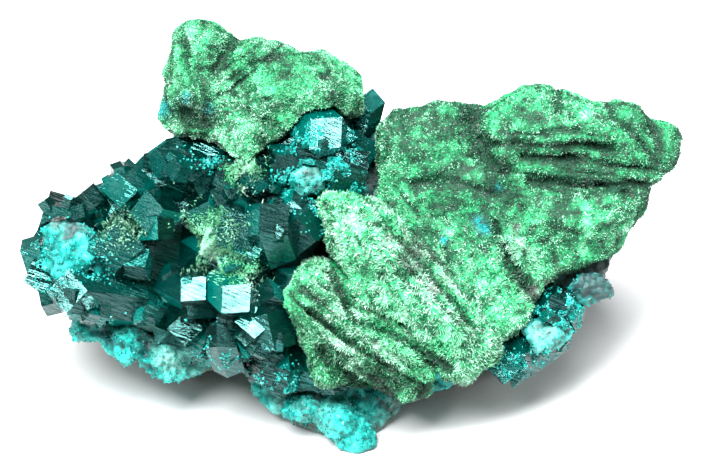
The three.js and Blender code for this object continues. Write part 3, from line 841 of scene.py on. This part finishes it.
def hexagonal(tips, axes, radii, lengths):
    """Six-sided crystals, each ended by three rhombs: the points of each and the triangles."""
    first, second = across_of(axes)
    turn = rng.random(len(tips)) * 2 * math.pi
    points = np.empty((len(tips), 13, 3))
    points[:, 0] = tips
    for k in range(6):
        angle = (turn + k * math.pi / 3)[:, None]
        side = radii[:, None] * (np.cos(angle) * first + np.sin(angle) * second)
        fall = CAP_SLOPE * radii * (0.5 if k % 2 else 1)
        points[:, 1 + k] = tips + side - axes * fall[:, None]
        points[:, 7 + k] = tips + side - axes * lengths[:, None]
    cap = [[0, 1 + (k + 5) % 6, 1 + k] for k in (0, 2, 4)]
    cap += [[0, 1 + k, 1 + (k + 1) % 6] for k in (0, 2, 4)]
    sides = [[1 + k, 7 + k, 1 + (k + 1) % 6] for k in range(6)]
    sides += [[1 + (k + 1) % 6, 7 + k, 7 + (k + 1) % 6] for k in range(6)]
    base = [[7, 7 + k + 1, 7 + k] for k in range(1, 5)]
    faces = (np.arange(len(tips)) * 13)[:, None, None] + np.array(cap + sides + base)
    return points.reshape(-1, 3), faces.reshape(-1, 3)


def places_near(cluster, spots, lowest=0):
    """Places on the cluster's front, no lower out of the face than that, near each spot."""
    points, normals = spots_on(cluster.data, TRIED_PLACES)
    face = on_face(points)
    seen = (normals @ FACE_OUT > 0) & (face[:, 2] > lowest)
    chosen = []
    for across, up, radius, count in spots:
        near = near_spot(face, across, up, radius) * seen
        chosen.append(rng.choice(len(points), size=count, p=near / near.sum()))
    chosen = np.concatenate(chosen)
    return points[chosen], normals[chosen]


def build_small_crystals(cluster, look):
    """Small crystals that break up the large ones' faces."""
    points, normals = places_near(cluster, BROKEN_SPOTS)
    axes = unit(normals + rng.normal(0, SMALL_JITTER, points.shape) + SMALL_FORWARD * FACE_OUT)
    radii = rng.uniform(*SMALL_RADII, len(points))
    tips = points + axes * (radii * rng.uniform(*SMALL_PROUD, len(points)))[:, None]
    mesh = mesh_of("dioptase_small", *hexagonal(tips, axes, radii, radii * SMALL_LENGTH))
    facet_lines(mesh)
    facet_tones(mesh)
    dress(new_object("dioptase_small", mesh), look, "dioptase")


def build_dust(cluster, spots, lowest, look):
    """Tiny turquoise crystals scattered over some of the large ones."""
    points, normals = places_near(cluster, spots, lowest)
    kept = noise(points, DUST_PATCH, 71) + rng.normal(0, DUST_FRAY, len(points)) > DUST_START
    points, normals = points[kept], normals[kept]
    directions = unit(normals + rng.normal(0, DRUSE_JITTER, points.shape))
    lengths = rng.uniform(*DUST_LENGTHS, len(points))
    radii = rng.uniform(*DUST_RADII, len(points))
    spike, faces = spikes(points - normals * DUST_ROOT, directions, lengths, radii)
    tone = turquoise_tone(rng.normal(*DUST_LIGHT, len(points)))
    name = cluster.name.replace("_clear", "_dust")
    dress(spike_object(name, spike, faces, tone, tone), look, "matrix")


def build_tufts(cluster, look):
    """Malachite fibres that grow on some of the crystals."""
    points, normals = places_near(cluster, TUFT_SPOTS)
    kept = noise(points, TUFT_PATCH, 73) + rng.normal(0, TUFT_FRAY, len(points)) > TUFT_START
    points, normals = points[kept], normals[kept]
    lean = swirl(points, TUFT_LEAN_SIZE, 44)
    jitter = rng.normal(0, TUFT_JITTER, points.shape)
    directions = unit(normals + TUFT_FORWARD * FACE_OUT + lean + jitter)
    lengths = rng.uniform(*TUFT_LENGTHS, len(points))
    radii = rng.uniform(*TUFT_RADII, len(points))
    spike, faces = spikes(points - normals * FIBRE_ROOT, directions, lengths, radii)
    level = rng.normal(*TUFT_LIGHT, len(points))
    # Painted shade at the root and painted light at the tip
    root = malachite_tone(points, level - TUFT_ROOT_SHADE)
    tip = malachite_tone(points, level + TUFT_TIP_LIGHT)
    dress(spike_object("malachite_tufts", spike, faces, root, tip), look, "malachite")


def build_dioptase():
    look = dioptase_material()
    pieces = {}
    for node in ("dioptase_crystals", "dioptase_edge_crystals"):
        mesh = welded_copy(node)
        mesh.shade_flat()
        facet_lines(mesh)
        facet_tones(mesh)
        pieces[node] = new_object(node + "_clear", mesh)
        dress(pieces[node], look, "dioptase", node)
    build_small_crystals(pieces["dioptase_crystals"], look)
    dust_look = toned("dust", roughness=(0.2, 0.5), shine=0.4, grain=2500, grain_depth=0.3)
    build_dust(pieces["dioptase_crystals"], DUST_SPOTS, 0, dust_look)
    build_dust(pieces["dioptase_edge_crystals"], EDGE_DUST_SPOTS, LOWEST_EDGE, dust_look)
    tuft_look = toned("malachite_tuft", roughness=(0.35, 0.6), shine=0.5, grain=2500, grain_depth=0.2)
    build_tufts(pieces["dioptase_crystals"], tuft_look)


# Stage
FLOOR_HALF = 0.6  # m
ROOM_LIGHT = 0.26
LAMP_DISTANCE = 0.5  # m
LAMPS = [
    ("key", -35, 60, 0.24, 7),
    ("top", 20, 80, 0.3, 7.3),
    ("right", 70, 35, 0.2, 0.8),
    ("left", -80, 30, 0.2, 0.7),
]  # name, azimuth and elevation in degrees, size in m, power in W


def build_floor():
    mesh = bpy.data.meshes.new("floor")
    rim = [(-FLOOR_HALF, -FLOOR_HALF, 0), (FLOOR_HALF, -FLOOR_HALF, 0)]
    rim += [(FLOOR_HALF, FLOOR_HALF, 0), (-FLOOR_HALF, FLOOR_HALF, 0)]
    mesh.from_pydata(rim, [], [(0, 1, 2, 3)])
    floor = new_object("floor", mesh)
    material, _, _, shader = new_material("floor")
    shader.inputs["Base Color"].default_value = (0.58, 0.59, 0.6, 1)
    shader.inputs["Roughness"].default_value = 0.5
    mesh.materials.append(material)


def softbox(name, azimuth, elevation, size, power):
    """A square soft lamp that faces the specimen. Azimuth 0 is in front of it and 90 to its right."""
    lamp = bpy.data.lights.new(name, "AREA")
    lamp.size = size
    lamp.energy = power
    obj = new_object(name, lamp)
    a, e = math.radians(azimuth), math.radians(elevation)
    away = Vector((math.sin(a) * math.cos(e), -math.cos(a) * math.cos(e), math.sin(e)))
    obj.location = Vector(FACE_ORIGIN * MM) + away * LAMP_DISTANCE
    obj.rotation_euler = (-away).to_track_quat("-Z", "Y").to_euler()


def build_lights():
    world = bpy.data.worlds.new("room")
    world.use_nodes = True
    background = world.node_tree.nodes["Background"]
    background.inputs["Color"].default_value = (1, 1, 1, 1)
    background.inputs["Strength"].default_value = ROOM_LIGHT
    bpy.context.scene.world = world
    for lamp in LAMPS:
        softbox(*lamp)


def build_camera():
    camera = bpy.data.cameras.new("camera")
    camera.lens = LENS
    camera.sensor_width = SENSOR
    camera.clip_start = NEAREST
    obj = new_object("camera", camera)
    distance = LENS * VIEW_WIDTH / SENSOR
    obj.location = Vector((FACE_ORIGIN + FACE_OUT * distance) * MM)
    obj.rotation_euler = (math.pi / 2 - FACE_RISE, 0, 0)
    bpy.context.scene.camera = obj


build_dioptase()
build_matrix()
build_malachite()
build_floor()
build_lights()
build_camera()
bpy.context.scene.view_settings.view_transform = "Standard"
